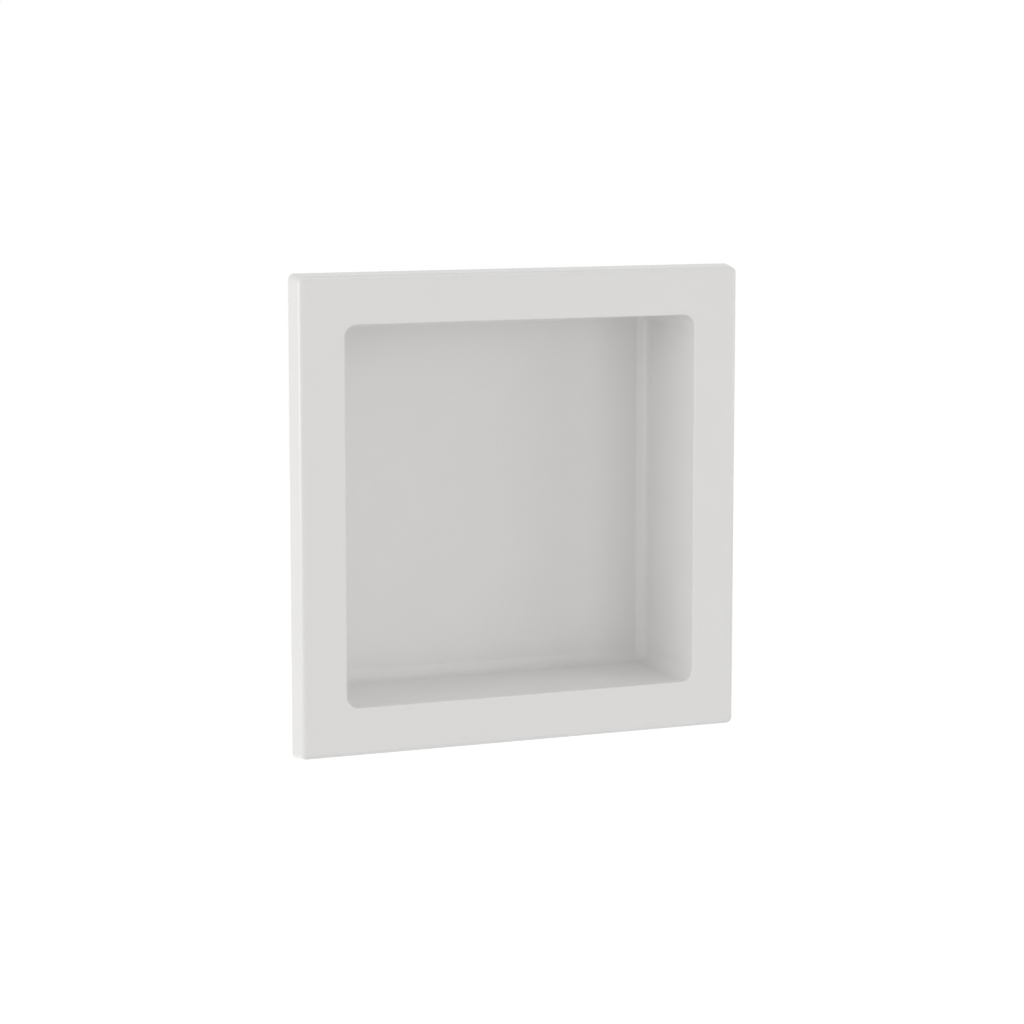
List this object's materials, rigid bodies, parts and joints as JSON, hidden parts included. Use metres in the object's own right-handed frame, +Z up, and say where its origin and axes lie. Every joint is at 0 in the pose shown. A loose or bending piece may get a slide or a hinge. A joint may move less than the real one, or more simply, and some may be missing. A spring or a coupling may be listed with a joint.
{
  "type": "shower niche insert",
  "caption": "Square recessed shelf for a shower wall, cast in one piece: a wide flat trim flange round a shallow box with rounded inside corners and a floor that drains towards the room.",
  "frame": {"origin": "centre of the flange's rear face, in the plane of the finished wall", "axes": "+X along the wall, to the right as seen from the room; +Y into the wall; +Z up"},
  "size_m": [0.3858, 0.097, 0.3858],
  "materials": {
    "cast_acrylic": "satin white, mineral-filled cast acrylic"
  },
  "bodies": {
    "root": {"niche_insert": "cast_acrylic"}
  },
  "joints": []
}
